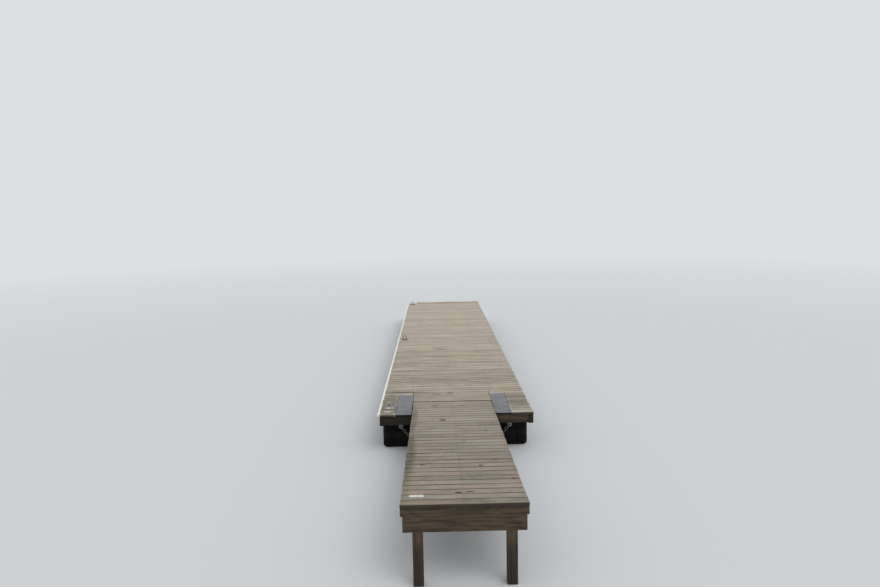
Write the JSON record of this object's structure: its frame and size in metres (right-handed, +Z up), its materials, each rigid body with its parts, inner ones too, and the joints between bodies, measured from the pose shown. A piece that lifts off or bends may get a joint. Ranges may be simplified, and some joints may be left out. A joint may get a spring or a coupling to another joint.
{
  "type": "floating timber jetty with a hinged gangway",
  "caption": "Boarded timber platform on black plastic floats, with a sloping gangway hinged in a notch at its shore end, mooring rings along one side and chains.",
  "frame": {"origin": "middle of the whole length and width, at the underside of the floats", "axes": "+X to the right seen from the shore, +Y from the shore out over the water, +Z up"},
  "size_m": [2.28, 15.2404, 0.816],
  "materials": {
    "weathered_boards": "bare boards weathered to a silvery grey-beige",
    "frame_timber": "dark brown preserved timber, dull",
    "float_plastic": "black moulded plastic, dull",
    "white_strip": "off-white plastic, slightly dirty",
    "plate_steel": "galvanised sheet gone dull blue-grey",
    "galvanised_steel": "hot-dip galvanised, dull with pale spots"
  },
  "bodies": {
    "platform": {"platform_deck": "weathered_boards", "threshold_panel": "weathered_boards", "left_side_beam": "frame_timber", "right_side_beam": "frame_timber", "left_notch_joist": "frame_timber", "right_notch_joist": "frame_timber", "centre_joist": "frame_timber", "notch_header": "frame_timber", "far_header": "frame_timber", "left_near_fascia": "frame_timber", "right_near_fascia": "frame_timber", "far_fascia": "frame_timber", "left_cross_ties": "frame_timber", "right_cross_ties": "frame_timber", "plate_ledgers": "frame_timber", "left_cover_plate": "plate_steel", "right_cover_plate": "plate_steel", "left_edge_strip": "white_strip", "far_kerb": "weathered_boards", "left_float_1": "float_plastic", "left_float_2": "float_plastic", "left_float_3": "float_plastic", "left_float_4": "float_plastic", "right_float_1": "float_plastic", "right_float_2": "float_plastic", "right_float_3": "float_plastic", "right_float_4": "float_plastic", "near_mooring_ring": "galvanised_steel", "middle_mooring_ring": "galvanised_steel", "far_mooring_ring": "galvanised_steel", "left_chain_hanger": "galvanised_steel", "right_chain_hanger": "galvanised_steel", "left_mooring_chain": "galvanised_steel", "right_mooring_chain": "galvanised_steel", "platform_hinge_brackets": "galvanised_steel", "hinge_pins": "galvanised_steel", "shore_sill": "frame_timber", "shore_posts": "frame_timber"},
    "gangway": {"gangway_deck": "weathered_boards", "left_gangway_stringer": "frame_timber", "centre_gangway_stringer": "frame_timber", "right_gangway_stringer": "frame_timber", "gangway_headers": "frame_timber", "gangway_spacers": "frame_timber", "gangway_hinge_lugs": "galvanised_steel"}
  },
  "joints": [
    {"name": "gangway_hinge", "type": "hinge", "parent": "platform", "child": "gangway", "pos_m": [-0.028, -3.52278, 0.4975], "axis": [-1, 0, 0], "range_deg": [0, 15]}
  ]
}
